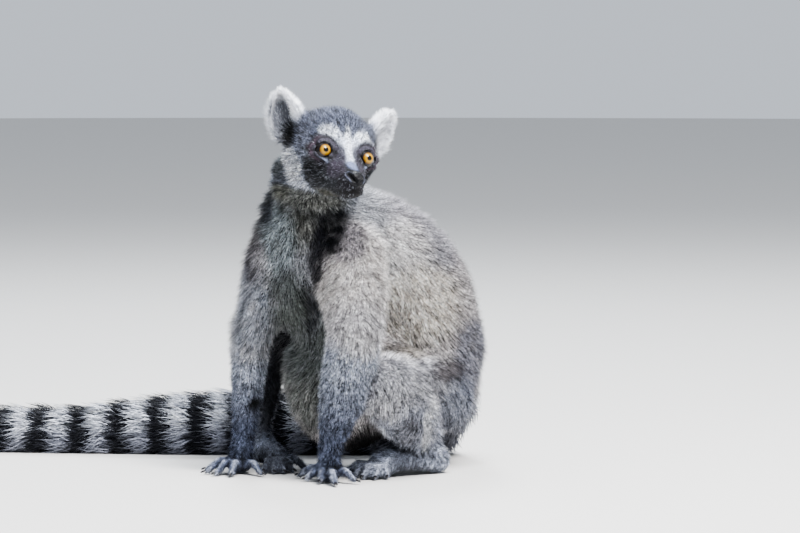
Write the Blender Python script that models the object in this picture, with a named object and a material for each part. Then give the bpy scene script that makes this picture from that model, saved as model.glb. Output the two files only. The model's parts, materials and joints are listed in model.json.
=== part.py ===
"""A ring-tailed lemur at life size, crouched on all fours with its head turned to its left.

The surface is the outside of the coat. The body is modelled whole from balls and tapered limbs,
blended into one skin, and then parted by thin cuts into its named parts.
The animal's chest faces -Y, its left side is +X and the floor is Z = 0.
Sizes in the tables are millimetres. Body positions are given as (across, back, up) in a plan
that is turned by PLAN_TURN, the direction in which the animal is broadest.
"""

import math

import bmesh
import bpy
from mathutils import Matrix, Vector

MM = 0.001
PLAN_TURN = math.radians(40)

COARSE_VOXEL = 4.0 * MM  # grid that blends trunk, limbs and tail
FINE_VOXEL = 1.8 * MM  # grid that adds head, hands and feet
TRIANGLES = 3300
SPARED = 0.03  # how much of the thinning the head and paws are spared
GAP = 0.35 * MM  # width of the cuts between parts


def at(across, back, up):
    c, s = math.cos(PLAN_TURN), math.sin(PLAN_TURN)
    return Vector((c * across - s * back, s * across + c * back, up)) * MM


# ---- where the joints are -------------------------------------------------------------------

HIP = {"left": at(76, 130, 64), "right": at(52, 165, 72)}
KNEE = {"left": at(30, 18, 82), "right": at(-84, 176, 118)}
ANKLE = {"left": at(71, 78, 28), "right": at(-84, 134, 30)}
HEEL = {"left": at(77, 78, 10), "right": at(-90, 148, 10)}
SHOULDER = {"left": at(0, 36, 193), "right": at(-66, 63, 189)}
ELBOW = {"left": at(6, -22, 133), "right": at(-86, 58, 118)}
WRIST = {"left": at(-17, 4, 28), "right": at(-94, 78, 28)}
PALM = {"left": at(-18, 6, 9), "right": at(-97, 76, 9)}
FOOT_BALL = {"left": at(27, 42, 12), "right": at(-66, 96, 12)}
FINGERTIPS = {  # thumb first
    "left": [at(-46, 34, 2), at(-38, 6, 2), at(-26, -14, 2), at(-12, -34, 2), at(6, -14, 2)],
    "right": [at(-76, 44, 2), at(-104, 40, 2), at(-118, 48, 2), at(-127, 60, 2), at(-128, 82, 2)],
}
TOETIPS = {  # great toe first
    "left": [at(-6, 60, 2), at(2, 32, 2), at(11, 20, 2), at(22, 17, 2), at(32, 24, 2)],
    "right": [at(-38, 92, 2), at(-50, 74, 2), at(-58, 66, 2), at(-67, 66, 2), at(-76, 72, 2)],
}

# ---- the trunk: centre, half width across, half depth from back to belly --------------------

TRUNK = [
    (at(84, 158, 78), 34, 32),
    (at(78, 154, 94), 45, 48),
    (at(63, 140, 122), 51, 59),
    (at(49, 125, 154), 54, 64),
    (at(27, 107, 184), 51, 59),
    (at(-4, 84, 206), 47, 50),
    (at(-31, 66, 221), 46, 43),
    (at(-36, 56, 238), 37, 36),
    (at(-30, 48, 256), 29, 33),
]
BELLY = (at(-3, 86, 80), (53, 61, 62))
BREAST = (at(-46, 56, 176), (34, 32, 44))
MIDRIFF = (at(-20, 78, 140), (36, 40, 36))
NAPE = (at(-49, 60, 221), (39, 35, 46))
NAPE_TOP = (at(-46, 62, 250), (24, 28, 29))
SECTION_THICKNESS = 22
TRUNK_STEPS = 5

# ---- the limbs: radii at the two joints and half way -----------------------------------------

LIMBS = {
    "upper_arm_left": (SHOULDER["left"], ELBOW["left"], (34, 32, 26)),
    "forearm_left": (ELBOW["left"], WRIST["left"], (26, 22.5, 12.5)),
    "upper_arm_right": (SHOULDER["right"], ELBOW["right"], (29, 25, 19.5)),
    "forearm_right": (ELBOW["right"], WRIST["right"], (19.5, 16.5, 12)),
    "thigh_left": (HIP["left"], KNEE["left"], (36, 35, 30)),
    "shank_left": (KNEE["left"], ANKLE["left"], (30, 28, 15.5)),
    "thigh_right": (HIP["right"], KNEE["right"], (38, 36, 28)),
    "shank_right": (KNEE["right"], ANKLE["right"], (28, 24, 14)),
}

# ---- the tail -------------------------------------------------------------------------------

TAIL = [
    (at(86, 156, 84), 25),
    (at(95, 180, 66), 23),
    (at(90, 209, 42), 22),
    (at(66, 236, 26), 25),
    (at(20, 248, 26), 29),
    (at(-60, 250, 28), 31),
    (at(-120, 250, 28), 30),
    (at(-180, 254, 25), 27),
    (at(-250, 260, 21), 23),
    (at(-330, 270, 20), 22),
    (at(-400, 286, 18), 20),
    (at(-425, 293, 16), 15),
]
TAIL_STEPS = 5
TAIL_CUTS = (1, 3, 5, 7, 9)  # the stations where the tail is parted

# ---- the head, in its own axes: left, forward, up -------------------------------------------

SKULL = at(-16, 25, 275.8)
HEAD_TURN, HEAD_NOD, HEAD_ROLL = math.radians(62.3), math.radians(-1.8), math.radians(11.4)
HEAD_SECTIONS = [
    # forward, half width, top, bottom
    (-40, 17, 26, -8),
    (-34, 26, 34, -17),
    (-22, 33.5, 42, -26),
    (-6, 36, 46, -30),
    (8, 35.5, 43, -31),
    (19, 32, 34, -31),
    (28, 26.5, 22, -31),
    (36, 19.5, 10, -31),
    (44, 14.5, 1.5, -31),
    (53, 11.5, -4, -30.5),
    (61, 9.5, -7, -28),
    (66, 7, -9.5, -23),
]
HEAD_BALLS = [
    # centre, radii, mirrored
    ((17, 18, 12), (13, 13, 11), True),  # brow
    ((20, 18, 0), (13, 14, 13), True),  # rim of the eye
    ((19, -3, -10), (15, 22, 17), True),  # cheek
    ((23, -10, 26), (12, 14, 12), True),  # side of the crown
]
EYE_CENTRE = (19.5, 26.5, 5.2)
EYE_RADIUS = 8.6
NOSE = ((0, 62, -13.5), (6.2, 6.5, 5.5))
EAR_ROOT = (35, -13, 10)
EAR_TIP = (52, -15, 52)
EAR_HALF_WIDTH = 13.5
EAR_OUTWARD = math.radians(40)  # how far the cup faces out from straight ahead
EAR_THICKNESS = 4.0

# ---- the paws --------------------------------------------------------------------------------

FINGER_RADIUS, TOE_RADIUS, PALM_RADIUS = 4.2, 4.7, 10.5

# ---- making shapes --------------------------------------------------------------------------


def ball_mesh(around):
    bm = bmesh.new()
    bmesh.ops.create_uvsphere(bm, u_segments=around, v_segments=around // 2, radius=1)
    mesh = bpy.data.meshes.new("ball")
    bm.to_mesh(mesh)
    bm.free()
    return mesh


def add_ball(bm, centre, radii, turn=None, around=24):
    """An ellipsoid: a unit ball, scaled, turned and set down."""
    mesh = ball_mesh(around)
    place = Matrix.Translation(centre) @ (turn or Matrix()).to_4x4()
    mesh.transform(place @ Matrix.Diagonal((*radii, 1)))
    bm.from_mesh(mesh)
    bpy.data.meshes.remove(mesh)


def hull_mesh(stations, around=24):
    """The tapered capsule round a straight row of (centre, radius) balls."""
    bm = bmesh.new()
    for centre, radius in stations:
        add_ball(bm, centre, (radius,) * 3, None, around)
    bmesh.ops.delete(bm, geom=bm.edges[:] + bm.faces[:], context="EDGES_FACES")
    hull = bmesh.ops.convex_hull(bm, input=bm.verts)
    bmesh.ops.delete(bm, geom=hull["geom_interior"], context="VERTS")
    bmesh.ops.recalc_face_normals(bm, faces=bm.faces)
    mesh = bpy.data.meshes.new("hull")
    bm.to_mesh(mesh)
    bm.free()
    return mesh


def add_chain(bm, stations, around=24):
    """Tapered capsules from each (centre, radius) station to the next."""
    for pair in zip(stations, stations[1:]):
        mesh = hull_mesh(pair, around)
        bm.from_mesh(mesh)
        bpy.data.meshes.remove(mesh)


def smooth_path(stations, steps):
    """Catmull-Rom points through (vector, number, ...) stations, steps to each stretch."""
    made = []
    last = len(stations) - 1
    for i in range(last):
        around = [stations[min(max(k, 0), last)] for k in (i - 1, i, i + 1, i + 2)]
        for step in range(steps):
            t = step / steps
            weights = (
                (-t + 2 * t**2 - t**3) / 2,
                (2 - 5 * t**2 + 3 * t**3) / 2,
                (t + 4 * t**2 - 3 * t**3) / 2,
                (-(t**2) + t**3) / 2,
            )
            made.append(
                tuple(
                    sum((w * s[k] for w, s in zip(weights, around)), 0 * around[0][k])
                    for k in range(len(stations[0]))
                )
            )
    made.append(stations[-1])
    return made


def new_object(name, bm):
    mesh = bpy.data.meshes.new(name)
    bm.to_mesh(mesh)
    bm.free()
    obj = bpy.data.objects.new(name, mesh)
    bpy.context.scene.collection.objects.link(obj)
    return obj


def evaluated(obj):
    """The object's mesh with its modifiers applied, as a new bmesh; the object is used up."""
    bpy.context.view_layer.update()
    result = bmesh.new()
    result.from_object(obj, bpy.context.evaluated_depsgraph_get())
    bpy.data.objects.remove(obj)
    return result


def blended(bm, voxel, smoothing):
    """The union of all the closed shapes in bm as one smooth skin."""
    obj = new_object("blend", bm)
    remesh = obj.modifiers.new("union", "REMESH")
    remesh.mode = "VOXEL"
    remesh.voxel_size = voxel
    smooth = obj.modifiers.new("soften", "SMOOTH")
    smooth.factor = 0.5
    smooth.iterations = smoothing
    return evaluated(obj)


# ---- trunk, limbs and tail ------------------------------------------------------------------


def add_trunk(bm):
    path = smooth_path(TRUNK, TRUNK_STEPS)
    centres = [p[0] for p in path]
    for i, (centre, half_width, half_depth) in enumerate(path):
        along = (centres[min(i + 1, len(path) - 1)] - centres[max(i - 1, 0)]).normalized()
        across = Vector((1, 0, 0))
        across = (across - across.dot(along) * along).normalized()
        turn = Matrix((across, along.cross(across), along)).transposed()
        radii = (half_width * MM, half_depth * MM, SECTION_THICKNESS * MM)
        add_ball(bm, centre, radii, turn)
    for centre, radii in (BELLY, MIDRIFF, BREAST, NAPE, NAPE_TOP):
        add_ball(bm, centre, [r * MM for r in radii])


def add_limbs(bm):
    for start, end, radii in LIMBS.values():
        points = (start, start.lerp(end, 0.5), end)
        add_chain(bm, [(p, r * MM) for p, r in zip(points, radii)])


def add_tail(bm):
    add_chain(bm, [(p, r * MM) for p, r in smooth_path(TAIL, TAIL_STEPS)])


# ---- the head -------------------------------------------------------------------------------


def head_axes():
    """Columns: the head's left, forward and up in the model's axes."""
    turn = Matrix.Rotation(HEAD_TURN, 3, "Z")
    nod = Matrix.Rotation(HEAD_NOD, 3, "X")
    roll = Matrix.Rotation(HEAD_ROLL, 3, "Y")
    facing = Matrix(((1, 0, 0), (0, -1, 0), (0, 0, 1)))
    return turn @ nod @ roll @ facing


def in_head(point):
    return SKULL + head_axes() @ (Vector(point) * MM)


def add_head(bm):
    turn = head_axes()
    sections = [(Vector((0, f, (t + b) / 2)), w, (t - b) / 2) for f, w, t, b in HEAD_SECTIONS]
    for centre, half_width, half_height in smooth_path(sections, 4):
        radii = (half_width * MM, 5 * MM, half_height * MM)
        add_ball(bm, in_head(centre), radii, turn)
    for centre, radii, mirrored in HEAD_BALLS:
        for side in (1, -1) if mirrored else (1,):
            place = in_head((centre[0] * side, centre[1], centre[2]))
            add_ball(bm, place, [r * MM for r in radii], turn)
    add_ball(bm, in_head(NOSE[0]), [r * MM for r in NOSE[1]], turn)


def ear_axes():
    """Along, facing and across one ear, in the head's axes."""
    root, tip = Vector(EAR_ROOT), Vector(EAR_TIP)
    along = (tip - root).normalized()
    facing = Vector((math.sin(EAR_OUTWARD), math.cos(EAR_OUTWARD), 0))
    facing = (facing - facing.dot(along) * along).normalized()
    return along, facing, along.cross(facing)


def add_ear(bm, side):
    """A cupped shell of overlapping small balls."""
    root, tip = Vector(EAR_ROOT), Vector(EAR_TIP)
    along, facing, across = ear_axes()
    middle, half = (root + tip) / 2, (tip - root).length / 2
    rows, columns = 14, 9
    for row in range(rows + 1):
        v = 2 * row / rows - 1
        width = EAR_HALF_WIDTH * math.sqrt(max(0.0, 1 - abs(v) ** 2.4)) * (1 - 0.1 * v)
        for column in range(columns + 1):
            u = 2 * column / columns - 1
            depth = 8.5 * (u * u) - 5.0
            point = middle + along * (half * v) + across * (width * u) + facing * depth
            place = in_head((point.x * side, point.y, point.z))
            add_ball(bm, place, (EAR_THICKNESS * MM,) * 3, None, 10)


# ---- hands and feet -------------------------------------------------------------------------


def add_digit(bm, palm, tip, radius):
    """A finger or toe: out of the palm, up over its knuckle and down to its pad."""
    root, knuckle, pad = palm.lerp(tip, 0.25), palm.lerp(tip, 0.58), palm.lerp(tip, 0.9)
    root.z, knuckle.z, pad.z = 9 * MM, 11.5 * MM, 3.5 * MM
    stations = [(root, radius * 1.15), (knuckle, radius), (pad, radius * 0.95), (tip, radius * 0.6)]
    add_chain(bm, stations, 12)


def add_hand(bm, side):
    palm = PALM[side]
    add_chain(bm, [(WRIST[side], 12 * MM), (palm, PALM_RADIUS * MM)])
    for tip in FINGERTIPS[side]:
        add_digit(bm, palm, tip, FINGER_RADIUS * MM)


def foot_stations(side):
    """Heel, instep and ball of the foot, with their radii."""
    heel, ball = HEEL[side], FOOT_BALL[side]
    instep = heel.lerp(ball, 0.55)
    instep.z = 17 * MM
    return [(heel, 10.5), (instep, 12), (ball, 11.5)]


def add_foot(bm, side):
    stations = [(p, r * MM) for p, r in foot_stations(side)]
    add_chain(bm, stations)
    add_chain(bm, [(ANKLE[side], 14 * MM), stations[0]])
    add_chain(bm, [(ANKLE[side], 13 * MM), stations[1]])
    for tip in TOETIPS[side]:
        add_digit(bm, FOOT_BALL[side], tip, TOE_RADIUS * MM)


# ---- the whole body --------------------------------------------------------------------------


def fine_parts():
    """Where the surface keeps more of its triangles: (centre, radius)."""
    spots = [(in_head((0, 12, 0)), 62 * MM)]
    for places in (PALM, FOOT_BALL):
        spots += [(place, 45 * MM) for place in places.values()]
    return spots


def thinned(bm, triangles):
    """Fewer triangles, with more of them kept on the head and the paws."""
    obj = new_object("thin", bm)
    group = obj.vertex_groups.new(name="coarse")
    spots = fine_parts()
    for vertex in obj.data.vertices:
        spared = any((vertex.co - centre).length < reach for centre, reach in spots)
        group.add([vertex.index], 1 - SPARED if spared else 1.0, "REPLACE")
    decimate = obj.modifiers.new("thin", "DECIMATE")
    decimate.ratio = triangles / (2 * len(obj.data.polygons))
    decimate.vertex_group = group.name
    decimate.vertex_group_factor = 1.0
    return evaluated(obj)


def floor_flats(bm):
    """Cuts the body level at the floor, which leaves small flats to rest on."""
    cut = bmesh.ops.bisect_plane(
        bm, geom=bm.verts[:] + bm.edges[:] + bm.faces[:], plane_co=(0, 0, 0), plane_no=(0, 0, -1),
        clear_outer=True,
    )
    edges = [e for e in cut["geom_cut"] if isinstance(e, bmesh.types.BMEdge)]
    bmesh.ops.holes_fill(bm, edges=edges)
    bmesh.ops.triangulate(bm, faces=bm.faces[:])


def whole_body():
    core = bmesh.new()
    add_trunk(core)
    add_limbs(core)
    add_tail(core)
    body = blended(core, COARSE_VOXEL, 14)
    add_head(body)
    body = blended(body, FINE_VOXEL, 8)
    for side in (1, -1):
        add_ear(body, side)
    for side in ("left", "right"):
        add_hand(body, side)
        add_foot(body, side)
    body = blended(body, FINE_VOXEL, 3)
    body = thinned(body, TRIANGLES)
    floor_flats(body)
    return body


# ---- parting ---------------------------------------------------------------------------------

SHELL_MARGIN = 3.0  # a limb is parted this far outside its own radius
CHIP = 400 * MM**3  # slivers under this, left where a cut runs out of the coat, are dropped
WELD = 0.01 * MM
DIGIT_SHELL = 8  # and a finger or toe this far from the middle of its tip
NOSE_SHELL = ((0, 66, -11.5), 8)

# centre, what the cut is square to, radius
CUTS = [
    (at(-29, 48, 250), at(0.1, -0.5, 0.86), 54),  # under the jaw
    (at(-30, 59, 230), at(-0.5, -0.4, 0.77), 100),  # foot of the neck
    (at(30, 110, 160), at(-0.43, -0.4, 0.81), 130),  # waist
]
EAR_CUT = ((37, -13, 22), (0.95, 0, 0.31), 30)
TAIL_CUT_RADIUS = 40


def disc(centre, square_to, radius):
    """A thin disc that parts what it crosses."""
    bm = bmesh.new()
    turn = square_to.to_track_quat("Z", "Y").to_matrix().to_4x4()
    bmesh.ops.create_cone(
        bm, cap_ends=True, segments=24, radius1=radius * MM, radius2=radius * MM, depth=GAP,
        matrix=Matrix.Translation(centre) @ turn,
    )
    return bm


def shell(stations, around=10):
    """A thin closed skin round a row of (centre, radius) balls, which parts what is inside."""
    bm = bmesh.new()
    for shrink in (0, GAP):
        mesh = hull_mesh([(centre, radius - shrink) for centre, radius in stations], around)
        if shrink:
            mesh.flip_normals()
        bm.from_mesh(mesh)
        bpy.data.meshes.remove(mesh)
    return bm


def without(piece, cutter):
    """The piece less the cutter, as its separate solids."""
    obj, helper = new_object("piece", piece), new_object("cutter", cutter)
    helper.hide_render = True
    helper.display_type = "WIRE"
    boolean = obj.modifiers.new("cut", "BOOLEAN")
    boolean.operation = "DIFFERENCE"
    boolean.solver = "EXACT"
    boolean.object = helper
    whole = evaluated(obj)
    bpy.data.objects.remove(helper)
    return [solid for solid in loose_solids(whole) if solid.calc_volume() > CHIP]


def loose_solids(bm):
    """Each connected piece of a bmesh, as a bmesh of its own."""
    solids = []
    unseen = set(bm.verts)
    while unseen:
        front = [unseen.pop()]
        found = set(front)
        while front:
            for edge in front.pop().link_edges:
                fresh = [v for v in edge.verts if v not in found]
                found.update(fresh)
                front.extend(fresh)
        unseen -= found
        kept = {vertex.index for vertex in found}
        solid = bm.copy()
        others = [vertex for vertex in solid.verts if vertex.index not in kept]
        bmesh.ops.delete(solid, geom=others, context="VERTS")
        solids.append(solid)
    bm.free()
    return solids


def tidied(bm):
    """The solid in triangles, with points that nearly coincide made one and any hole closed."""
    bmesh.ops.triangulate(bm, faces=bm.faces[:])
    bmesh.ops.remove_doubles(bm, verts=bm.verts[:], dist=WELD)
    bmesh.ops.dissolve_degenerate(bm, edges=bm.edges[:], dist=WELD)
    bmesh.ops.holes_fill(bm, edges=[edge for edge in bm.edges if edge.is_boundary])
    bmesh.ops.triangulate(bm, faces=bm.faces[:])
    return bm


def middle_of(bm):
    areas = [face.calc_area() for face in bm.faces]
    centres = [face.calc_center_median() for face in bm.faces]
    return sum((c * a for c, a in zip(centres, areas)), Vector()) / sum(areas)


def limb_shells():
    """The shells that part nose, paws and limbs: name, cutter and middle."""
    nose, radius = NOSE_SHELL
    yield "nose", shell([(in_head(nose), radius * MM)]), in_head(nose)
    for side in ("left", "right"):
        for name, spots, tips in (
            ("hand_" + side, [(PALM[side], PALM_RADIUS)], FINGERTIPS[side]),
            ("foot_" + side, foot_stations(side), TOETIPS[side]),
        ):
            stations = [(p, (r + SHELL_MARGIN) * MM) for p, r in spots]
            stations += [(tip, DIGIT_SHELL * MM) for tip in tips]
            yield name, shell(stations, 8), sum((p for p, _ in stations), Vector()) / len(stations)
    for name, (start, end, radii) in LIMBS.items():
        points = (start, start.lerp(end, 0.5), end)
        stations = [(p, (r + SHELL_MARGIN) * MM) for p, r in zip(points, radii)]
        yield name, shell(stations), points[1]


def discs():
    for centre, square_to, radius in CUTS:
        yield disc(centre, square_to, radius)
    (x, y, z), (nx, ny, nz), radius = EAR_CUT
    for side in (1, -1):
        yield disc(in_head((x * side, y, z)), head_axes() @ Vector((nx * side, ny, nz)), radius)
    for station in TAIL_CUTS:
        along = TAIL[station + 1][0] - TAIL[station - 1][0]
        yield disc(TAIL[station][0], along, TAIL_CUT_RADIUS)


def anchors():
    """About where the middle of each part lies that isn't a limb."""
    places = {
        "head": in_head((0, 8, 2)),
        "ear_left": in_head((44, -14, 34)),
        "ear_right": in_head((-44, -14, 34)),
        "neck": at(-33, 58, 236),
        "chest": at(-10, 80, 190),
        "abdomen": at(40, 115, 110),
    }
    ends = [0, *TAIL_CUTS, len(TAIL) - 1]
    for number, (first, last) in enumerate(zip(ends[1:], ends[2:]), 1):
        places["tail_%d" % number] = (TAIL[first][0] + TAIL[last][0]) / 2
    return places


def body_parts():
    """The parts of the coat by name."""
    parts, rest = {}, [whole_body()]
    for name, cutter, middle in limb_shells():
        pieces = []
        for piece in rest:
            pieces += without(piece, cutter.copy())
        pieces.sort(key=lambda piece: (middle_of(piece) - middle).length)
        parts[name], *rest = pieces
    for cutter in discs():
        pieces = []
        for piece in rest:
            pieces += without(piece, cutter.copy())
        rest = pieces
    places = anchors()
    for piece in rest:
        middle = middle_of(piece)
        parts[min(places, key=lambda key: (places[key] - middle).length)] = piece
    return parts


def eye_ball(side, grow=0.0):
    bm = bmesh.new()
    x, y, z = EYE_CENTRE
    add_ball(bm, in_head((x * side, y, z)), (EYE_RADIUS * MM + grow,) * 3, None, 16)
    return bm


# ---- colours, and the finished parts ---------------------------------------------------------

COLOURS = {
    "eye": (0.55, 0.24, 0.04),
    "nose": (0.02, 0.02, 0.02),
    "ear": (0.62, 0.62, 0.62),
    "head": (0.42, 0.42, 0.43),
    "neck": (0.36, 0.35, 0.34),
    "chest": (0.38, 0.36, 0.34),
    "abdomen": (0.42, 0.38, 0.34),
    "upper": (0.44, 0.41, 0.38),
    "forearm": (0.36, 0.36, 0.37),
    "hand": (0.40, 0.40, 0.41),
    "thigh": (0.40, 0.37, 0.34),
    "shank": (0.38, 0.36, 0.35),
    "foot": (0.45, 0.45, 0.45),
    "tail": (0.22, 0.22, 0.23),
}
SHINY = {"eye": 0.05, "nose": 0.3}


def colour_of(name):
    kind = name.split("_")[0]
    material = bpy.data.materials.new(name)
    material.use_nodes = True
    shader = material.node_tree.nodes["Principled BSDF"]
    shader.inputs["Base Color"].default_value = (*COLOURS[kind], 1)
    shader.inputs["Roughness"].default_value = SHINY.get(kind, 0.9)
    shader.inputs["Metallic"].default_value = 0.0
    return material


def main():
    for obj in list(bpy.data.objects):
        bpy.data.objects.remove(obj)
    parts = body_parts()
    for side in (1, -1):
        parts["head"], = without(parts["head"], eye_ball(side, GAP))
        parts["eye_left" if side > 0 else "eye_right"] = eye_ball(side)
    corners = [vertex.co for part in parts.values() for vertex in part.verts]
    middle = [
        (min(c[axis] for c in corners) + max(c[axis] for c in corners)) / 2 for axis in (0, 1)
    ]
    for name, part in sorted(parts.items()):
        tidied(part)
        part.transform(Matrix.Translation((-middle[0], -middle[1], 0)))
        new_object(name, part).data.materials.append(colour_of(name))


main()
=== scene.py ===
# %% [markdown]
# # Dressing a ring-tailed lemur
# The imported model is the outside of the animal's coat, parted into head, trunk, limbs and tail.
# This script puts a living surface in its place: one skin a little further in, eyes with lids,
# nails, a leathery nose, and a coat of many thousand small locks that lie as the hair lies.

# %% Load the frame
import json
import math

import bmesh
import bpy
import numpy as np
from mathutils import Matrix, Vector, noise
from mathutils.bvhtree import BVHTree

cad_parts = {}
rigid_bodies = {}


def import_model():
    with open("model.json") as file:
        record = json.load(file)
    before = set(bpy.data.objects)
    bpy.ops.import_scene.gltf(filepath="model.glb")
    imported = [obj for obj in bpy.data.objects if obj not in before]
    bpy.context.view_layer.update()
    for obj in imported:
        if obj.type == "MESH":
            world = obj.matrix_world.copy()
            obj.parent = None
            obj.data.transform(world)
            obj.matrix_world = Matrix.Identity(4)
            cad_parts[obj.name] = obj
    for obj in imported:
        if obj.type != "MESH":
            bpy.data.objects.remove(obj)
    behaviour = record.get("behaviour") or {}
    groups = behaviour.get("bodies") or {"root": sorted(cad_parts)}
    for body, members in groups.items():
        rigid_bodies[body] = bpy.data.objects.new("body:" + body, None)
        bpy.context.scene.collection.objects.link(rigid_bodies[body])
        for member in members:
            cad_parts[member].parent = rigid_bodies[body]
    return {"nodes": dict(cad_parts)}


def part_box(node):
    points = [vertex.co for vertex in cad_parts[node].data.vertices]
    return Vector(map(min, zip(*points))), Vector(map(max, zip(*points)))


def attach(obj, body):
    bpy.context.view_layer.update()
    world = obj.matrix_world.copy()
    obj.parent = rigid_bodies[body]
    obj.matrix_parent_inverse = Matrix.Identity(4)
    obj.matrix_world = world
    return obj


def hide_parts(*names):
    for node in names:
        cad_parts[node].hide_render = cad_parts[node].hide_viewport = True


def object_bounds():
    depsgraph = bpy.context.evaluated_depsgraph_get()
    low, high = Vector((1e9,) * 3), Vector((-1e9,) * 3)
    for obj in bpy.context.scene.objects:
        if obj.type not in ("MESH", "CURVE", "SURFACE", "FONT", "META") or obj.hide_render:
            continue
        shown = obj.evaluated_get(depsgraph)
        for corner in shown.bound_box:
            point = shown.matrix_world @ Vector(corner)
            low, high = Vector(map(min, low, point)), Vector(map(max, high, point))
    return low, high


for startup_object in list(bpy.data.objects):
    bpy.data.objects.remove(startup_object)
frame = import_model()
cad_low, cad_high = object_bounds()
MM = 0.001
# Blender's noise vectors start from the clock unless they get a seed.
SEED = 7
noise.seed_set(SEED)
print("solids:", len(frame["nodes"]), "size", [round(s, 3) for s in cad_high - cad_low])

# %% [markdown]
# ## Camera, floor and light
# The animal is seen from a low stand four metres off, a little to its left of straight ahead,
# with a long lens. It stands left of the middle of the view. The floor is a wide pale sheet, and
# four soft lamps and a bright sky give shadows with soft edges. One lamp stands where its
# reflection shows in the eyes.

# %% Camera
CAMERA_TURN, CAMERA_TILT = math.radians(40), math.radians(3.77)
CAMERA_DISTANCE, AIM_RIGHT, AIM_UP = 4.236, 0.1689, 0.0015
LENS = 210.6


def add_object(name, data):
    obj = bpy.data.objects.new(name, data)
    bpy.context.scene.collection.objects.link(obj)
    return obj


middle = (cad_low + cad_high) / 2
to_right = Vector((math.cos(CAMERA_TURN), math.sin(CAMERA_TURN), 0))
to_camera = Vector((math.sin(CAMERA_TURN), -math.cos(CAMERA_TURN), 0)) * math.cos(CAMERA_TILT)
to_camera.z = math.sin(CAMERA_TILT)
camera_data = bpy.data.cameras.new("camera")
camera_data.lens = LENS
camera_data.sensor_width = 36
camera = add_object("camera", camera_data)
aim = middle + to_right * AIM_RIGHT + Vector((0, 0, AIM_UP))
camera.location = aim + to_camera * CAMERA_DISTANCE
camera.rotation_euler = (math.pi / 2 - CAMERA_TILT, 0, CAMERA_TURN)
bpy.context.scene.camera = camera
print("camera at", [round(c, 3) for c in camera.location])

# %% Floor and light


def colour(*steps):
    """A colour given in the usual 0 to 255 steps, as Blender's linear values."""
    return tuple(((c / 255 + 0.055) / 1.055) ** 2.4 if c > 10 else c / 3295 for c in steps)


def set_inputs(node, values):
    for socket, value in values.items():
        node.inputs[socket].default_value = value


def new_material(name, values):
    """A material whose shader has the given values."""
    material = bpy.data.materials.new(name)
    material.use_nodes = True
    set_inputs(material.node_tree.nodes["Principled BSDF"], values)
    return material


def new_object(name, bm):
    mesh = bpy.data.meshes.new(name)
    bm.to_mesh(mesh)
    bm.free()
    return add_object(name, mesh)


def add_lamp(name, place, size, power, tint):
    lamp = bpy.data.lights.new(name, "AREA")
    lamp.shape = "DISK"
    lamp.size = size
    lamp.energy = power
    lamp.color = tint
    obj = add_object(name, lamp)
    obj.location = place
    obj.rotation_euler = (middle - Vector(place)).to_track_quat("-Z", "Y").to_euler()


floor_bm = bmesh.new()
bmesh.ops.create_circle(floor_bm, cap_ends=True, segments=96, radius=9)
floor = new_object("floor", floor_bm)
paper = {"Base Color": (*colour(205, 203, 200), 1), "Roughness": 0.9}
floor.data.materials.append(new_material("floor_paper", paper))

world = bpy.data.worlds.new("sky")
world.use_nodes = True
set_inputs(world.node_tree.nodes["Background"], {"Color": (0.80, 0.86, 0.95, 1), "Strength": 0.72})
bpy.context.scene.world = world
bpy.context.scene.view_settings.look = "AgX - Medium High Contrast"
eye_light = middle + to_camera * 1.05 + to_right * 0.62 + Vector((0, 0, 2.1))
for name, place, size, power, tint in (
    ("key_lamp", (1.9, -0.5, 2.3), 0.9, 118, (1.0, 0.98, 0.96)),
    ("rim_lamp", (-1.2, 1.4, 2.2), 0.8, 55, (0.90, 0.95, 1.0)),
    ("sky_lamp", (0.3, -0.6, 3.0), 2.4, 14, (0.88, 0.94, 1.0)),
    ("eye_lamp", eye_light, 1.6, 100, (0.95, 0.97, 1.0)),
):
    add_lamp(name, place, size, power, tint)

# %% [markdown]
# ## One skin under the coat
# The solids of flesh are grown by a hair's breadth, so that the thin cuts between them close, and
# are run together on a fine grid. The steps of the grid and the flats of the solids are then
# smoothed away, with a push back after each smoothing step, so that fingers don't wither.

# %% Run the solids together
EYES = ("eye_left", "eye_right")
FLESH = [name for name in sorted(frame["nodes"]) if name not in EYES]
GRID = 1.6 * MM
GROWTH = 0.35 * MM


def joined_flesh():
    """All solids of flesh in one bmesh, each a little fatter, so that they overlap."""
    joined = bmesh.new()
    for name in FLESH:
        part = bmesh.new()
        part.from_mesh(frame["nodes"][name].data)
        bmesh.ops.remove_doubles(part, verts=part.verts, dist=0.01 * MM)
        part.normal_update()
        for vert in part.verts:
            vert.co += vert.normal * GROWTH
        mesh = bpy.data.meshes.new(name)
        part.to_mesh(mesh)
        part.free()
        joined.from_mesh(mesh)
        bpy.data.meshes.remove(mesh)
    return joined


def apply_modifiers(obj):
    bpy.context.view_layer.update()
    evaluated = obj.evaluated_get(bpy.context.evaluated_depsgraph_get())
    made = bpy.data.meshes.new_from_object(evaluated)
    obj.modifiers.clear()
    obj.data = made


skin = new_object("skin", joined_flesh())
remesh = skin.modifiers.new("union", "REMESH")
remesh.mode = "VOXEL"
remesh.voxel_size = GRID
apply_modifiers(skin)
print("skin grid:", len(skin.data.vertices), "points")

# %% Read the skin as arrays


def read_array(items, name, width, kind=np.float32):
    """One property of all vertices, edges or triangles of a mesh, a row for each."""
    values = np.empty(len(items) * width, kind)
    items.foreach_get(name, values)
    return values.reshape(-1, width)


def read_points(mesh):
    return read_array(mesh.vertices, "co", 3).astype(float)


def read_normals(mesh):
    return read_array(mesh.vertices, "normal", 3).astype(float)


def write_points(mesh, points):
    mesh.vertices.foreach_set("co", points.astype(np.float32).ravel())
    mesh.update()


def read_edges(mesh):
    return read_array(mesh.edges, "vertices", 2, np.int32)


def unit(vectors):
    """The same directions, one metre long."""
    return vectors / np.maximum(np.linalg.norm(vectors, axis=-1, keepdims=True), 1e-9)


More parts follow.
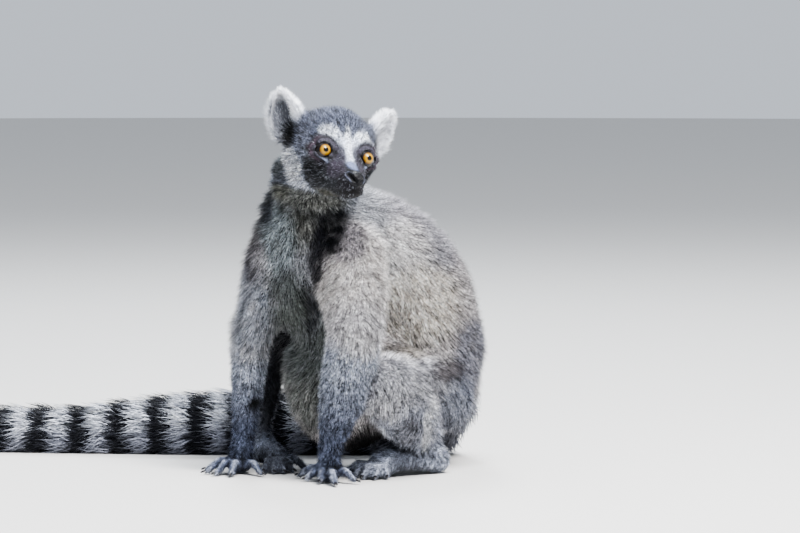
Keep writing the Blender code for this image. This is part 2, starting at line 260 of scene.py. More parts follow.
def spread(values, edges, rounds, shares=(0.5,), weight=1.0):
    """Values per point, each moved towards the mean of its neighbours, round after round."""
    first, second = edges.T
    count = len(values)
    neighbours = np.bincount(first, minlength=count) + np.bincount(second, minlength=count)
    flat = values.reshape(count, -1).astype(float)
    strength = np.broadcast_to(np.asarray(weight, float), (count,))
    for step in range(rounds):
        pull = (strength * shares[step % len(shares)])[:, None]
        total = np.empty_like(flat)
        for k in range(flat.shape[1]):
            total[:, k] = np.bincount(first, flat[second, k], count)
            total[:, k] += np.bincount(second, flat[first, k], count)
        flat = flat + pull * (total / neighbours[:, None] - flat)
    return flat.reshape(values.shape)


def solid_under(points):
    """For each point, the number in FLESH of the solid that is nearest."""
    corners, faces, owners = [], [], []
    for number, name in enumerate(FLESH):
        mesh = frame["nodes"][name].data
        start = len(corners)
        corners += [v.co.copy() for v in mesh.vertices]
        faces += [[start + i for i in p.vertices] for p in mesh.polygons]
        owners += [number] * len(mesh.polygons)
    tree = BVHTree.FromPolygons(corners, faces)
    return np.array([owners[tree.find_nearest(Vector(p))[2]] for p in points])


edges = read_edges(skin.data)
points = read_points(skin.data)
owner = solid_under(points)
counts = np.bincount(owner, minlength=len(FLESH))
print("points of each part:", dict(zip(FLESH, counts.tolist())))

# %% [markdown]
# ## The head's own axes
# Face, eyes and markings are easier to place in axes that turn with the head: left, forward and
# up, in millimetres from the middle of the skull. The two eyes give the left axis. The nose gives
# the forward one, since it lies in front of the eyes and a known way below them.

# %% Head axes
EYE_SIDE, EYE_FORWARD, EYE_UP = 19.5, 26.5, 5.2
NOSE_DROP = math.atan2(18.1, 38.3)


def node_middle(name):
    low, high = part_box(name)
    return (low + high) / 2


between_eyes = (node_middle("eye_left") + node_middle("eye_right")) / 2
left_axis = (node_middle("eye_left") - node_middle("eye_right")).normalized()
to_nose = node_middle("nose") - between_eyes
to_nose = (to_nose - to_nose.dot(left_axis) * left_axis).normalized()
forward_axis = Matrix.Rotation(-NOSE_DROP, 3, left_axis) @ to_nose
up_axis = left_axis.cross(forward_axis) * -1
head_axes = Matrix((left_axis, forward_axis, up_axis)).transposed()
if up_axis.z < 0:
    raise ValueError("the head's up axis points down")
skull = between_eyes - head_axes @ (Vector((0, EYE_FORWARD, EYE_UP)) * MM)
HEAD = np.array(head_axes)
SKULL = np.array(skull)


def to_head(places):
    return (places - SKULL) @ HEAD / MM


def from_head(places):
    return places * MM @ HEAD.T + SKULL


print("skull at", [round(c, 4) for c in skull], "forward", [round(c, 3) for c in forward_axis])

# %% The body's plan
PLAN_COSINE, PLAN_SINE = math.cos(CAMERA_TURN), math.sin(CAMERA_TURN)
PLAN_ORIGIN = (125.7, -226.5, 0)


def to_plan(places):
    """Across, back and up in millimetres, turned so that across is the animal's broad side."""
    x, y, z = places.T / MM
    across, back = PLAN_COSINE * x + PLAN_SINE * y, PLAN_COSINE * y - PLAN_SINE * x
    return np.stack((across, back, z), axis=1) - np.array(PLAN_ORIGIN)


def from_plan(across, back, up):
    """A place given in the body's plan, in the model's metres."""
    x, y = across + PLAN_ORIGIN[0], back + PLAN_ORIGIN[1]
    return Vector((PLAN_COSINE * x - PLAN_SINE * y, PLAN_SINE * x + PLAN_COSINE * y, up)) * MM

# %% [markdown]
# ## What grows where
# Each part of the body has its own hair: a depth of coat, and the length, width, spacing and lift
# of its locks. One table holds them, and the values are smoothed over the skin, so that one kind
# of hair runs into the next.

# %% Table of the coat
COAT = {
    # part: depth of coat, length, width, spacing of locks (mm), lift (degrees), smoothing, pepper
    "abdomen": (6.5, 11.5, 0.7, 1.13, 36, 1.0, 0.85),
    "chest": (6.5, 12.5, 0.7, 1.13, 36, 1.0, 0.75),
    "ear": (2.7, 4.6, 0.5, 0.8, 28, 0.25, 0.1),
    "foot": (1.5, 4.6, 0.48, 0.9, 22, 0.3, 0.9),
    "forearm": (3.6, 6.5, 0.6, 1.0, 36, 0.9, 1.0),
    "hand": (1.1, 3.4, 0.44, 0.85, 20, 0.3, 0.9),
    "head": (3.0, 5.8, 0.52, 0.95, 42, 0.45, 1.0),
    "neck": (5.5, 10, 0.68, 1.1, 38, 0.9, 0.85),
    "nose": (0.3, 1.6, 0.4, 1.2, 10, 0.3, 0.2),
    "shank": (4.0, 7.5, 0.62, 1.0, 36, 0.9, 0.9),
    "tail": (12.0, 26, 1.0, 1.6, 38, 1.0, 0.3),
    "thigh": (6.5, 11, 0.7, 1.15, 36, 1.0, 0.95),
    "upper_arm": (6.0, 10.5, 0.68, 1.1, 34, 1.0, 0.75),
}
DEPTH, LENGTH, WIDTH, SPACING, LIFT, SMOOTHING, PEPPER = range(7)


def kind(name):
    """The row of COAT for a solid: its name without left, right or number."""
    start, _, end = name.rpartition("_")
    return start if end in ("left", "right", *"12345") else name


PUSH_BACK = (0.5, -0.52)
rows = np.array([COAT[kind(name)] for name in FLESH], float)
coat = spread(rows[owner], edges, 30)
points = spread(points, edges, 60, PUSH_BACK, np.maximum(coat[:, SMOOTHING], 0.7))
points = spread(points, edges, 24, weight=coat[:, SMOOTHING] ** 2)
write_points(skin.data, points)

# %% A finer mesh for the face
FACE = [((0, 34, -4), (40, 36, 34))]
FEATURES = [
    # eyes and muzzle: middle (left, forward, up) and radii, in mm
    ((EYE_SIDE, 30, 5), (14, 12, 13)), ((-EYE_SIDE, 30, 5), (14, 12, 13)), ((0, 60, -16), (18, 22, 16)),
]


def radii_from(places, centre, radii):
    """Distance from the middle of an ellipsoid, where 1 is its surface."""
    return np.linalg.norm((places - np.array(centre)) / np.array(radii), axis=1)


def refine(mesh, regions):
    """Cuts every edge inside the given ellipsoids of the head in two."""
    places = to_head(read_points(mesh))
    inside = np.min([radii_from(places, *region) for region in regions], axis=0) < 1
    bm = bmesh.new()
    bm.from_mesh(mesh)
    chosen_edges = [e for e in bm.edges if inside[e.verts[0].index] and inside[e.verts[1].index]]
    bmesh.ops.subdivide_edges(bm, edges=chosen_edges, cuts=1, use_grid_fill=True)
    bmesh.ops.triangulate(bm, faces=[f for f in bm.faces if len(f.verts) > 4])
    bm.to_mesh(mesh)
    bm.free()


refine(skin.data, FACE)
refine(skin.data, FEATURES)
edges = read_edges(skin.data)
points = spread(read_points(skin.data), edges, 4, PUSH_BACK)
write_points(skin.data, points)
owner = solid_under(points)
coat = spread(rows[owner], edges, 30)
depth = coat[:, DEPTH]
print("points:", len(points), "coat from", depth.min().round(2), "to", depth.max().round(2), "mm")

# %% [markdown]
# ## Face and head
# The coat is shortest on the face, and the muzzle is nearly bare. A few soft masks say where the
# face, the muzzle and the ears begin. A mask is a number from 0 to 1 at every point of the skin.

# %% Masks of the face


def ramp(values, low, high):
    """0 below low, 1 above high and a soft step between; low may be the larger."""
    t = np.clip((values - low) / (high - low), 0, 1)
    return t * t * (3 - 2 * t)


def blob(places, centre, radii, softness=0.35):
    """1 inside an ellipsoid, 0 outside it, with a soft edge."""
    return ramp(radii_from(places, centre, radii), 1 + softness, 1 - softness)


def part_mask(*names):
    """1 on the named parts or kinds of part, 0 elsewhere."""
    chosen = np.array([kind(name) in names or name in names for name in FLESH], float)
    return chosen[owner]


def soft_mask(rounds, *names):
    """The same, with an edge as soft as that many rounds of smoothing make it."""
    return np.clip(spread(part_mask(*names), edges, rounds), 0, 1)


def halves(places):
    """1 or -1 for each axis of a place in the head: a product with it folds right on to left."""
    return np.where(places[:, :1] < 0, -1.0, 1.0) ** np.array((1, 0, 0))


def eye_way():
    """The way that the left eye's lids open, in the head's axes, and the two axes across it."""
    way = unit(np.array((math.sin(EYE_OUTWARD), math.cos(EYE_OUTWARD), math.sin(EYE_RAISED))))
    upward = unit(np.array((0, 0, 1.0)) - way[2] * way)
    return way, np.cross(way, upward), upward


def eye_polar(places):
    """Distance from the nearer eye, angle from the way it opens, and the turn round that way.

    The turn is 0 on the outer side of the eye and 90 above it.
    """
    from_eye = places * halves(places) - EYE_MIDDLE
    way, outward, upward = eye_way()
    distance = np.linalg.norm(from_eye, axis=1)
    cosine = from_eye @ way / np.maximum(distance, 1e-6)
    turn = np.degrees(np.arctan2(from_eye @ upward, from_eye @ outward))
    return distance, np.degrees(np.arccos(np.clip(cosine, -1, 1))), turn


def hump(distance, width):
    """1 where the distance is 0, falling to nothing a few widths away."""
    return np.exp(-((distance / width) ** 2))


def turn_gap(turn, middle):
    return (turn - middle + 180) % 360 - 180


EYE_OUTWARD, EYE_RAISED = math.radians(7), math.radians(11)
EYE_RADIUS = 8.6
EYE_MIDDLE = np.array((EYE_SIDE, EYE_FORWARD, EYE_UP))
face_points = to_head(points)
is_head = soft_mask(6, "head", "nose")
_, y, z = face_points.T
muzzle = is_head * ramp(y + 0.25 * z, 24, 38)
face = is_head * np.maximum(ramp(y, 2, 22), muzzle)
distance, angle, _ = eye_polar(face_points)
near_eye = ramp(distance, 17, 11) * ramp(angle, 105, 80) * is_head
short_haired = np.maximum(muzzle, near_eye)
for column, value, mask in (
    (DEPTH, 1.3, face), (DEPTH, 0.5, short_haired),
    (LENGTH, 4.2, face), (LENGTH, 2.5, short_haired),
    (WIDTH, 0.5, face), (WIDTH, 0.34, short_haired),
    (SPACING, 0.85, face), (SPACING, 0.95, muzzle), (LIFT, 18, face),
):
    coat[:, column] += (value - coat[:, column]) * mask
crown = is_head * ramp(z, 14, 26)
coat[:, DEPTH] -= 1.3 * crown
coat[:, LENGTH] += 1.6 * crown
print("face", int(face.sum()), "muzzle", int(muzzle.sum()), "points")

# %% Sink the skin under the coat
RIGHT_THIGH = ((-58, 120, 100), (18, 50, 34))
coat[:, DEPTH] *= 1 - 0.7 * blob(to_plan(points), *RIGHT_THIGH)
normals = unit(spread(read_normals(skin.data), edges, 6))
deepest_at_floor = 0.5 * np.maximum(points[:, 2] / MM, 0) + 0.6
depth = np.minimum(spread(coat[:, DEPTH], edges, 10), deepest_at_floor)
points -= normals * depth[:, None] * MM
points = spread(points, edges, 8, PUSH_BACK)
write_points(skin.data, points)
print("skin lies up to", depth.max().round(1), "mm in")

# %% [markdown]
# ## Sculpting the face
# The skin is pressed on to a ball a little larger than the eye all round each opening, and pushed
# behind the eye inside it, so that the lids can close the edge. Grooves make the mouth and the
# nostrils. Soft swellings fill out the lips, the ears' roots and the back of the head.

# %% Lines and lids


def segment_distance(places, start, end):
    """Distance to a straight line between two points."""
    start, end = np.array(start, float), np.array(end, float)
    along = np.clip((places - start) @ (end - start) / ((end - start) @ (end - start)), 0, 1)
    return np.linalg.norm(places - start - along[:, None] * (end - start), axis=1)


def line_distance(places, line):
    """Distance to a bent line, given by its corners."""
    return np.min([segment_distance(places, a, b) for a, b in zip(line, line[1:])], axis=0)


def lid_edge(turn):
    """The angle at which the lids end, for a turn round the eye: wider at its two corners."""
    return LID_OPENING + 11 * hump(turn_gap(turn, 205), 22) + 5 * hump(turn_gap(turn, 5), 26)


def past_lid(places):
    """Distance from the nearer eye, degrees beyond the edge of its lids, and the turn round it."""
    distance, angle, turn = eye_polar(places)
    return distance, angle - lid_edge(turn), turn


def lid_sides(turn):
    """1 above the eye, and 1 below it, each with a soft step at the corners."""
    height = np.sin(np.radians(turn))
    return ramp(height, -0.1, 0.5), ramp(height, 0.1, -0.4)


LID_OPENING = 48
LID_STRETCH, LID_THICKNESS = 36, 0.75
MOUTH = [(0, 67, -25.5), (5, 63.5, -26.5), (10, 56, -27.5), (14, 46, -27), (17.5, 37, -23)]
NOSTRIL = [(2.6, 70, -17.6), (4.6, 68.2, -15.6), (6.3, 65.5, -13), (7, 62.5, -12)]
PHILTRUM = [(0, 71, -17.5), (0, 68, -23)]
face_points = to_head(points)
flip = halves(face_points)
half, half_normals = face_points * flip, normals @ HEAD * flip
distance, angle, turn = eye_polar(half)
facing_eye = np.einsum("ij,ij->i", half_normals, half - EYE_MIDDLE) < 0

# The socket's rim is where the skin comes closest to the way the eye opens.
on_ball = (distance > EYE_RADIUS - 3) & (distance < EYE_RADIUS + 4) & (is_head > 0.5)
slices = np.arange(-175, 180, 10)
near_slice = [on_ball & (np.abs(turn_gap(turn, s)) < 9) for s in slices]
rim = np.interp(turn, slices, [np.percentile(angle[n], 0.5) for n in near_slice], period=360)
edge = lid_edge(turn)
share = np.clip((angle - rim) / LID_STRETCH, 0, 1)
drawn = np.where(rim > edge, edge + (rim + LID_STRETCH - edge) * share, angle)
drawn = np.where(share < 1, drawn, angle)
new_angle = angle + (drawn - angle) * ramp(distance, EYE_RADIUS + 9, EYE_RADIUS + 4) * is_head
way, _, _ = eye_way()
aside = half - EYE_MIDDLE
aside = unit(aside - (aside @ way)[:, None] * way)
new_radians = np.radians(new_angle)[:, None]
away = way * np.cos(new_radians) + aside * np.sin(new_radians)
beyond = new_angle - edge
upper, lower = lid_sides(turn)
lid = EYE_RADIUS + LID_THICKNESS
outside = lid + np.maximum(distance - lid, 0) * ramp(beyond, -2, 24)
hidden = (beyond < 0) | (facing_eye & (angle < 100))
wanted = np.where(hidden, np.minimum(distance, EYE_RADIUS - 1.6), outside)
swell = 0.5 * hump(beyond - 9, 6) + 0.5 * hump(beyond - 32, 9)
swell -= 0.9 * upper * hump(beyond - 20, 3.6) + 0.6 * lower * hump(beyond - 18, 4)
wanted += swell * ~hidden
close = ramp(distance, EYE_RADIUS + 8, EYE_RADIUS + 5) * ramp(beyond, 66, 46) * (is_head > 0.2)
new_distance = distance + (wanted - distance) * close
half = EYE_MIDDLE + away * new_distance[:, None]
rim = rim[on_ball]
print("rims at", int(rim.min()), "to", int(rim.max()), "degrees, lids at", LID_OPENING)

# %% Nose, mouth and cheeks
to_mouth, to_nostril = line_distance(half, MOUTH), line_distance(half, NOSTRIL)
below_mouth = ramp(half[:, 2] + 24 + 0.05 * half[:, 1], 0.5, -0.5)
rise = 0.9 * blob(half, (0, 68, -15), (7.2, 8, 6.2))  # bare nose
rise += 1.1 * hump(np.linalg.norm(half - (9, 56, -17), axis=1), 8)  # whisker pad
rise += 0.6 * hump(to_mouth - 3, 1.6) * (1 - 0.4 * below_mouth)  # lips
rise -= 1.9 * hump(to_mouth, 1.1) + 2.6 * hump(to_nostril, 1.15)
rise += 0.5 * hump(to_nostril - 2.6, 0.8) - 0.9 * hump(line_distance(half, PHILTRUM), 0.7)
rise -= 1.2 * hump(np.linalg.norm(half - (11, 41, 3), axis=1), 5)  # before the eye's inner corner
rise += 2.6 * blob(half, (3, 59, -28), (10, 9, 6))  # chin
half += half_normals * (rise * is_head * np.maximum(muzzle, 0.2))[:, None]
print("nose and mouth raised by up to", rise.max().round(1), "mm")

# %% Ears and the back of the head
EAR_ROOT, EAR_TIP = np.array((35, -13, 10.0)), np.array((52, -15, 52.0))
EAR_MIDDLE, EAR_OUTWARD = (EAR_ROOT + EAR_TIP) / 2, math.radians(50)
SWELLINGS = [
    # middle, radii, height (mm): root of the ear, nape, and the hollow below the eye
    ((36, -18, 1), (9, 9, 10), 5.0), ((28, -36, -6), (12, 15, 14), 6.0),
    ((25.5, 30, -10), (8, 10, 8), -3.2),
]
ear_along = unit(EAR_TIP - EAR_ROOT)
ear_facing = np.array((math.sin(EAR_OUTWARD), math.cos(EAR_OUTWARD), 0))
ear_facing = unit(ear_facing - (ear_facing @ ear_along) * ear_along)
ear_across = np.cross(ear_along, ear_facing)
on_ear = soft_mask(3, "ear")
from_ear = half - EAR_MIDDLE
taper = 0.3 * ramp(from_ear @ ear_along, -2, 22) * on_ear
half -= (from_ear @ ear_across * taper)[:, None] * ear_across
swell = sum(height * blob(half, centre, radii) for centre, radii, height in SWELLINGS)
half += half_normals * (swell * is_head)[:, None]
points = np.where((is_head + on_ear)[:, None] > 0, from_head(half * flip), points)
print("back of the head raised by up to", swell.max().round(1), "mm")

# %% Folds of the body
# Lines in the body's plan, by their corners. The knee's one runs between belly and folded leg.
KNEE_FOLD = [
    (26, 60, 107), (43, 66, 103), (54, 52, 99), (64, 46, 88), (71, 43, 76), (75, 50, 66),
    (75, 49, 50), (76, 62, 30),
]
LEG_MIDDLE = (50, 48, 62)
ELBOW_FOLD = [(-24, -2, 149), (-16, -13, 146), (-6, -27, 146), (2, -34, 149)]
CREASES = [
    [(70, 80, 126), (84, 90, 122), (96, 105, 124)], [(76, 72, 92), (90, 86, 88), (104, 110, 92)],
    [(60, 84, 146), (70, 88, 140), (82, 98, 141)], [(-40, 28, 186), (-34, 26, 178), (-33, 32, 164)],
]
HOLLOWS = [
    # middle, radii, depth (mm), parts of the body: left armpit, and right side of the neck
    ((-33, 40, 148), (10, 26, 26), 4.5, soft_mask(8, "chest", "abdomen")),
    ((-72, 58, 236), (14, 32, 20), 4.5, 1 - is_head),
]
plan = to_plan(points)
corners = np.array(KNEE_FOLD, float)
nearest = corners[np.argmin([np.linalg.norm(plan - c, axis=1) for c in corners], axis=0)]
to_leg = np.linalg.norm((plan - LEG_MIDDLE)[:, ::2], axis=1)
on_leg = to_leg < np.linalg.norm((nearest - LEG_MIDDLE)[:, ::2], axis=1)
to_fold = line_distance(plan, KNEE_FOLD)
folding = soft_mask(8, "thigh_left", "shank_left", "abdomen") * ramp(plan[:, 1], 118, 95)
behind_leg = ramp(plan[:, 2], 92, 78)
sink = 9.0 * folding * hump(to_fold, np.where(on_leg, 4.0, 4.5 + 9 * behind_leg))
sink += folding * 5.0 * behind_leg * blob(plan, (92, 72, 55), (18, 60, 34))
on_upper_arm = soft_mask(8, "upper_arm_left")
sink += 2.6 * hump(line_distance(plan, ELBOW_FOLD), 3.5) * on_upper_arm
for centre, radii, deep, mask in HOLLOWS:
    sink += deep * blob(plan, centre, radii) * mask
for line in CREASES:
    sink += 2.2 * hump(line_distance(plan, line), 3.0) * (1 - is_head)
points -= normals * (sink * MM)[:, None]
write_points(skin.data, points)
print("folds up to", sink.max().round(1), "mm deep")

# %% [markdown]
# ## The lie of the hair
# Hair points away from the nose, down the neck and trunk, out along each limb and on to the tail's
# tip. Each part gets a start and an end from the middles of its neighbours. These directions are
# smoothed over the skin and laid flat on it, so that they turn gently at every join.

# %% Directions
CHAINS = [["head", "neck", "chest", "abdomen", "tail_1", "tail_2", "tail_3", "tail_4", "tail_5"]]
for side in ("_left", "_right"):
    CHAINS.append(["chest", "upper_arm" + side, "forearm" + side, "hand" + side])
    CHAINS.append(["abdomen", "thigh" + side, "shank" + side, "foot" + side])
    CHAINS.append(["head", "ear" + side])
LIE = {}
for chain in CHAINS:
    for before, part, after in zip(chain, chain[1:], chain[2:] + chain[-1:]):
        LIE[part] = (before, after)
part_middle = {name: np.array(node_middle(name)) for name in FLESH}
DROOP = (0, 0, -0.55)
flow = np.zeros_like(points)
for number, name in enumerate(FLESH):
    here = owner == number
    if kind(name) == "ear":
        side = 1 if name == "ear_left" else -1
        flow[here] = unit(points[here] - from_head((EAR_ROOT + (0, 0, 4)) * (side, 1, 1)))
    elif name in LIE:
        start, end = (part_middle[part] for part in LIE[name])
        flow[here] = unit(end - start)
back_from_nose = unit(points - from_head(np.array((0, 64, 2))))
on_head = part_mask("head", "nose")[:, None]
flow = flow * (1 - on_head) + back_from_nose * on_head
flow += part_mask("chest", "abdomen", "upper_arm", "thigh")[:, None] * np.array(DROOP)
flow = spread(flow, edges, 70)


def waves(places, size, seed):
    """Smooth random vectors that change over the given distance in metres."""
    offset = Vector((seed * 7.31, seed * 3.17, seed * 5.77))
    return np.array([noise.noise_vector(Vector(p) / size + offset) for p in places])


normals = unit(read_normals(skin.data))
flow = unit(flow) + 0.42 * waves(points, 0.022, 1) + 0.22 * waves(points, 0.008, 2)
flow -= (flow * normals).sum(1, keepdims=True) * normals
flow = unit(flow)
print("directions for", len(flow), "points")

# %% [markdown]
# ## Markings and painted shade
# The same colours go on skin and hair. Each part has a base colour, softened over the joins. Soft
# patches with blotchy edges lay the dark shoulder, pale chest and buff flank on it. Painted shade
# darkens the throat, lower chest and belly, the armpit, the shin, folds and creases, the front of
# the right leg and foot, and the underside of the tail. The face and the tail have markings of their
# own: a dark cap, black eye rings and muzzle, and the tail's rings.

# %% Base colours and patches
BASE = {
    "abdomen": (196, 190, 190), "chest": (176, 178, 184), "ear": (240, 242, 248),
    "foot": (172, 178, 194), "forearm": (184, 190, 205), "hand": (102, 108, 124),
    "head": (187, 193, 208), "neck": (120, 120, 116), "nose": (20, 20, 24),
    "shank": (186, 190, 204), "tail": (222, 225, 234), "thigh": (188, 188, 194),
    "upper_arm": (216, 213, 216),
}
PATCHES = [
    # middle (across, back, up), radii (mm), colour, strength
    ((77, 110, 225), (60, 75, 45), (160, 156, 162), 0.75),  # back
    ((42, 60, 192), (26, 50, 32), (242, 237, 236), 0.8),  # ribs behind the shoulder
    ((4, 10, 178), (34, 45, 40), (224, 218, 214), 0.8),  # left shoulder
    ((-4, 15, 206), (17, 40, 15), (138, 134, 142), 0.75),  # top of the left shoulder
    ((62, 60, 150), (40, 60, 34), (250, 240, 228), 0.95),  # flank and haunch
    ((104, 130, 100), (20, 60, 34), (124, 127, 142), 0.8),  # rump
    ((98, 88, 56), (24, 60, 26), (152, 157, 172), 0.8),  # below the rump
    ((50, 46, 12), (15, 24, 14), (98, 102, 114), 0.7),  # heel
    ((80, 94, 91), (17, 50, 8), (54, 44, 46), 0.8),  # painted shade in the fold of the haunch
    ((44, 62, 108), (30, 34, 9), (142, 136, 128), 0.85),  # shade above the knee
    ((50, 40, 48), (13, 30, 20), (112, 112, 118), 0.75),  # painted shade on the shin
    ((67, 50, 50), (5, 30, 28), (226, 227, 232), 0.85),  # back edge of the shank
    ((-62, 20, 212), (15, 45, 38), (168, 178, 184), 0.85),  # chest: its own pale colour, darkened by painted shade
    ((-58, 34, 160), (20, 40, 26), (86, 92, 90), 0.85),  # lower chest: its own pale colour, darkened by painted shade
    ((-43, 40, 98), (32, 55, 62), (110, 116, 112), 0.85),  # belly: its own pale colour, darkened by painted shade
    ((-34, 40, 148), (9, 28, 28), (48, 50, 58), 0.85),  # painted shade in the hollow of the left armpit
    ((-88, 58, 150), (22, 40, 46), (160, 166, 178), 0.8),  # right upper arm
    ((-42, 22, 243), (19, 30, 15), (40, 42, 34), 0.95),  # painted shade on the throat
    ((-17, 20, 222), (13, 45, 25), (22, 23, 30), 1.0),  # dark side of the neck
    ((-27, 20, 196), (9, 36, 25), (44, 44, 52), 0.95),  # front of the left shoulder
    ((-72, 50, 240), (12, 34, 22), (40, 42, 52), 0.9),  # right side of the neck
    ((-82, 50, 200), (10, 45, 28), (98, 94, 98), 0.8),  # right shoulder
    ((-34, 0, 166), (5, 24, 5), (80, 66, 78), 0.9),  # bare gland of the left shoulder
    ((-82, 55, 64), (7, 18, 7), (4, 4, 6), 1.0),  # spur of the right wrist
]
FRONT_PAINTED_SHADE = [
    # painted shade, laid like the patches but only where the skin looks to the front
    ((-66, 165, 84), (34, 58, 72), (50, 49, 52), 0.88),  # painted shade inside the right leg
    ((12, 66, 32), (20, 32, 17), (12, 11, 13), 0.95),  # painted shadow between belly and left leg
    ((-60, 92, 8), (32, 36, 16), (44, 46, 54), 0.75),  # painted shade on the right foot
]
TAIL_LINE = [
    (86, 156, 84), (95, 180, 66), (90, 209, 42), (66, 236, 26), (20, 248, 26), (-60, 250, 28),
    (-120, 250, 28), (-180, 254, 25), (-250, 260, 21), (-330, 270, 20), (-400, 286, 18),
    (-425, 293, 16),
]
BLOTCH = 7 * MM  # size of the blotches that break up the patches' edges
RING_PERIOD, FIRST_RING, PALE_RING_AT = 36.7, 125, 285.2


def paint(shade, mask):
    """Lays a colour over the skin's tint, as strongly as the mask says."""
    tint[:] += (np.array(colour(*shade)) - tint) * mask[:, None]


def paint_patches(patches, places, mask, blotches=0.0):
    """Lays soft ellipsoids of colour over the tint, their edges broken up by the blotches."""
    for centre, radii, shade, strength in patches:
        patch = np.clip(blob(places, centre, radii) * (1 + blotches), 0, 1)
        paint(shade, patch * strength * mask)


def along_tail(places):
    """Millimetres along the tail's middle line from its root, for places in the plan."""
    nearest = np.full(len(places), np.inf)
    found = np.zeros(len(places))
    run = 0.0
    for start, end in zip(np.array(TAIL_LINE[:-1], float), np.array(TAIL_LINE[1:], float)):
        length = np.linalg.norm(end - start)
        share = np.clip((places - start) @ (end - start) / length**2, 0, 1)
        distance = segment_distance(places, start, end)
        found = np.where(distance < nearest, run + share * length, found)
        nearest = np.minimum(distance, nearest)
        run += length
    return found


plan = to_plan(points)
tint = spread(np.array([colour(*BASE[kind(name)]) for name in FLESH])[owner], edges, 60)
forearms = soft_mask(12, "forearm", "hand")
# Forearms and hands darken lower down: partly their own colour, partly painted shade.
paint((100, 107, 128), forearms * ramp(plan[:, 2], 112, 36))
blotch = np.array([noise.noise(Vector(p) / BLOTCH) for p in points])
tint *= (1 + 0.3 * blotch * coat[:, PEPPER] * (1 - is_head))[:, None]
paint_patches(PATCHES, plan, 1 - is_head, 0.9 * blotch)
in_front = ramp(to_plan(points + normals)[:, 1] - plan[:, 1], 0.45 / MM, -0.1 / MM)
paint_patches(FRONT_PAINTED_SHADE, plan, in_front)
left_arm = soft_mask(4, "upper_arm_left", "forearm_left")
# A product of a soft mask and its opposite is a line along the mask's edge.
# Here it lays painted shade on the flank along the rear edge of the left arm.
shade_beside_arm = 4 * left_arm * (1 - left_arm) * ramp(plan[:, 2], 196, 176)
paint((84, 78, 80), 0.6 * shade_beside_arm * (plan[:, 0] > 5))
# Painted shade darkens hands and feet near the floor and between the digits, and a painted highlight
# makes the knuckles pale.
paws = part_mask("hand", "foot")
paint((34, 35, 42), 0.7 * paws * ramp(plan[:, 2], 8, 1.5))
bulge = np.einsum("ij,ij->i", points - spread(points, edges, 14), normals) / MM
paint((206, 211, 224), 0.55 * paws * ramp(bulge, 0.25, 0.9))
paint((22, 22, 27), 0.85 * paws * ramp(bulge, -0.05, -0.6))
# Painted shade along the knee's fold, between belly and folded leg.
paint((46, 44, 50), 0.95 * hump(to_fold - 1, 5.2) * folding)
# Painted shade along the creases of the flank and haunch.
for line in CREASES[:3]:
    paint((104, 94, 90), 0.6 * hump(line_distance(plan, line) - 1.5, 2.6))
run = along_tail(plan)
on_tail = soft_mask(6, "tail")
# Pale rings lie where the cosine is 1. The tail is shaded towards the floor, and grey at its root.
ring = np.cos(2 * np.pi * (run - PALE_RING_AT) / RING_PERIOD)
dark_ring = ramp(ring, 0.3, -0.15) * ramp(run, FIRST_RING - 8, FIRST_RING)
tail_top = np.interp(run, [0, 150, 300, 440], [70, 62, 50, 38])
tail_shade = ramp(plan[:, 2] / tail_top, 0.62, 0.3)
paint((92, 94, 112), 0.72 * on_tail * tail_shade)
paint((92, 94, 104), 0.8 * on_tail * ramp(run, 128, 112))
paint((26, 27, 34), on_tail * dark_ring)
print("body painted, tail runs to", run.max().round(), "mm")

# %% Markings of the face
face_points = to_head(points)
mirrored = face_points * halves(face_points)
side, y, z = mirrored.T
cap_edge = 20 + 7 * ramp(side, 0, 13) - 21 * ramp(side, 17, 34)
cap = np.maximum(ramp(z - cap_edge, -2.5, 2.5), ramp(y, -6, -16) * ramp(z, -2, 8)) * is_head
dark_cheek = ramp(y - 0.3 * (z + 12), 9, 17) * ramp(z, 3, -5) * is_head
FACE_PATCHES = [
    # middle (side, forward, up), radii (mm), colour, strength
    ((31, 8, 8), (8, 14, 13), (120, 124, 140), 0.85),  # temple
    ((30, -26, -20), (16, 14, 20), (72, 75, 82), 0.85),  # behind the cheek
    ((28, -38, -6), (13, 15, 15), (88, 92, 92), 0.85),  # nape
    ((37, -14, 1), (10, 9, 9), (232, 235, 242), 0.9),  # below the ear
    ((33, -2, -11), (12, 14, 12), (226, 229, 238), 0.9),  # cheek
    ((12, 46, -9), (7, 14, 8), (58, 52, 63), 0.85),  # side of the muzzle
    ((10, 42, 0), (6.5, 8, 7), (56, 50, 61), 0.92),  # under the eye's inner corner
    ((8.9, 38, 6), (6.2, 10, 10), (50, 48, 58), 0.92),  # dark line from the eye to the brow
    ((0, 34, 15), (3.2, 16, 15), (214, 219, 230), 0.9),  # stripe between the eyes
    ((17, 30, 22), (9, 11, 4.5), (220, 225, 236), 0.8),  # brow
    ((0, 52, -4), (4.6, 13, 5), (100, 108, 136), 0.92),  # bare bridge of the nose
    ((0, 57, -29), (15, 18, 8), (24, 22, 25), 0.95),  # chin and lips
    ((8, 60, -18), (8, 9, 7), (30, 27, 33), 0.85),  # whisker pad
    ((0, 68, -15), (6.8, 8, 6.2), (13, 13, 16), 1.0),  # nose
]
paint((60, 65, 84), 0.9 * cap)
paint((9, 9, 12), 0.97 * dark_cheek)
paint_patches(FACE_PATCHES, mirrored, is_head)
distance, beyond, turn = past_lid(face_points)
upper, lower = lid_sides(turn)
outer = ramp(np.cos(np.radians(turn)), -0.1, 0.6)
under = hump(turn_gap(turn, -100), 34)
round_eye = ramp(distance, 15.5, 12.5) * ramp(beyond, 58, 40) * is_head
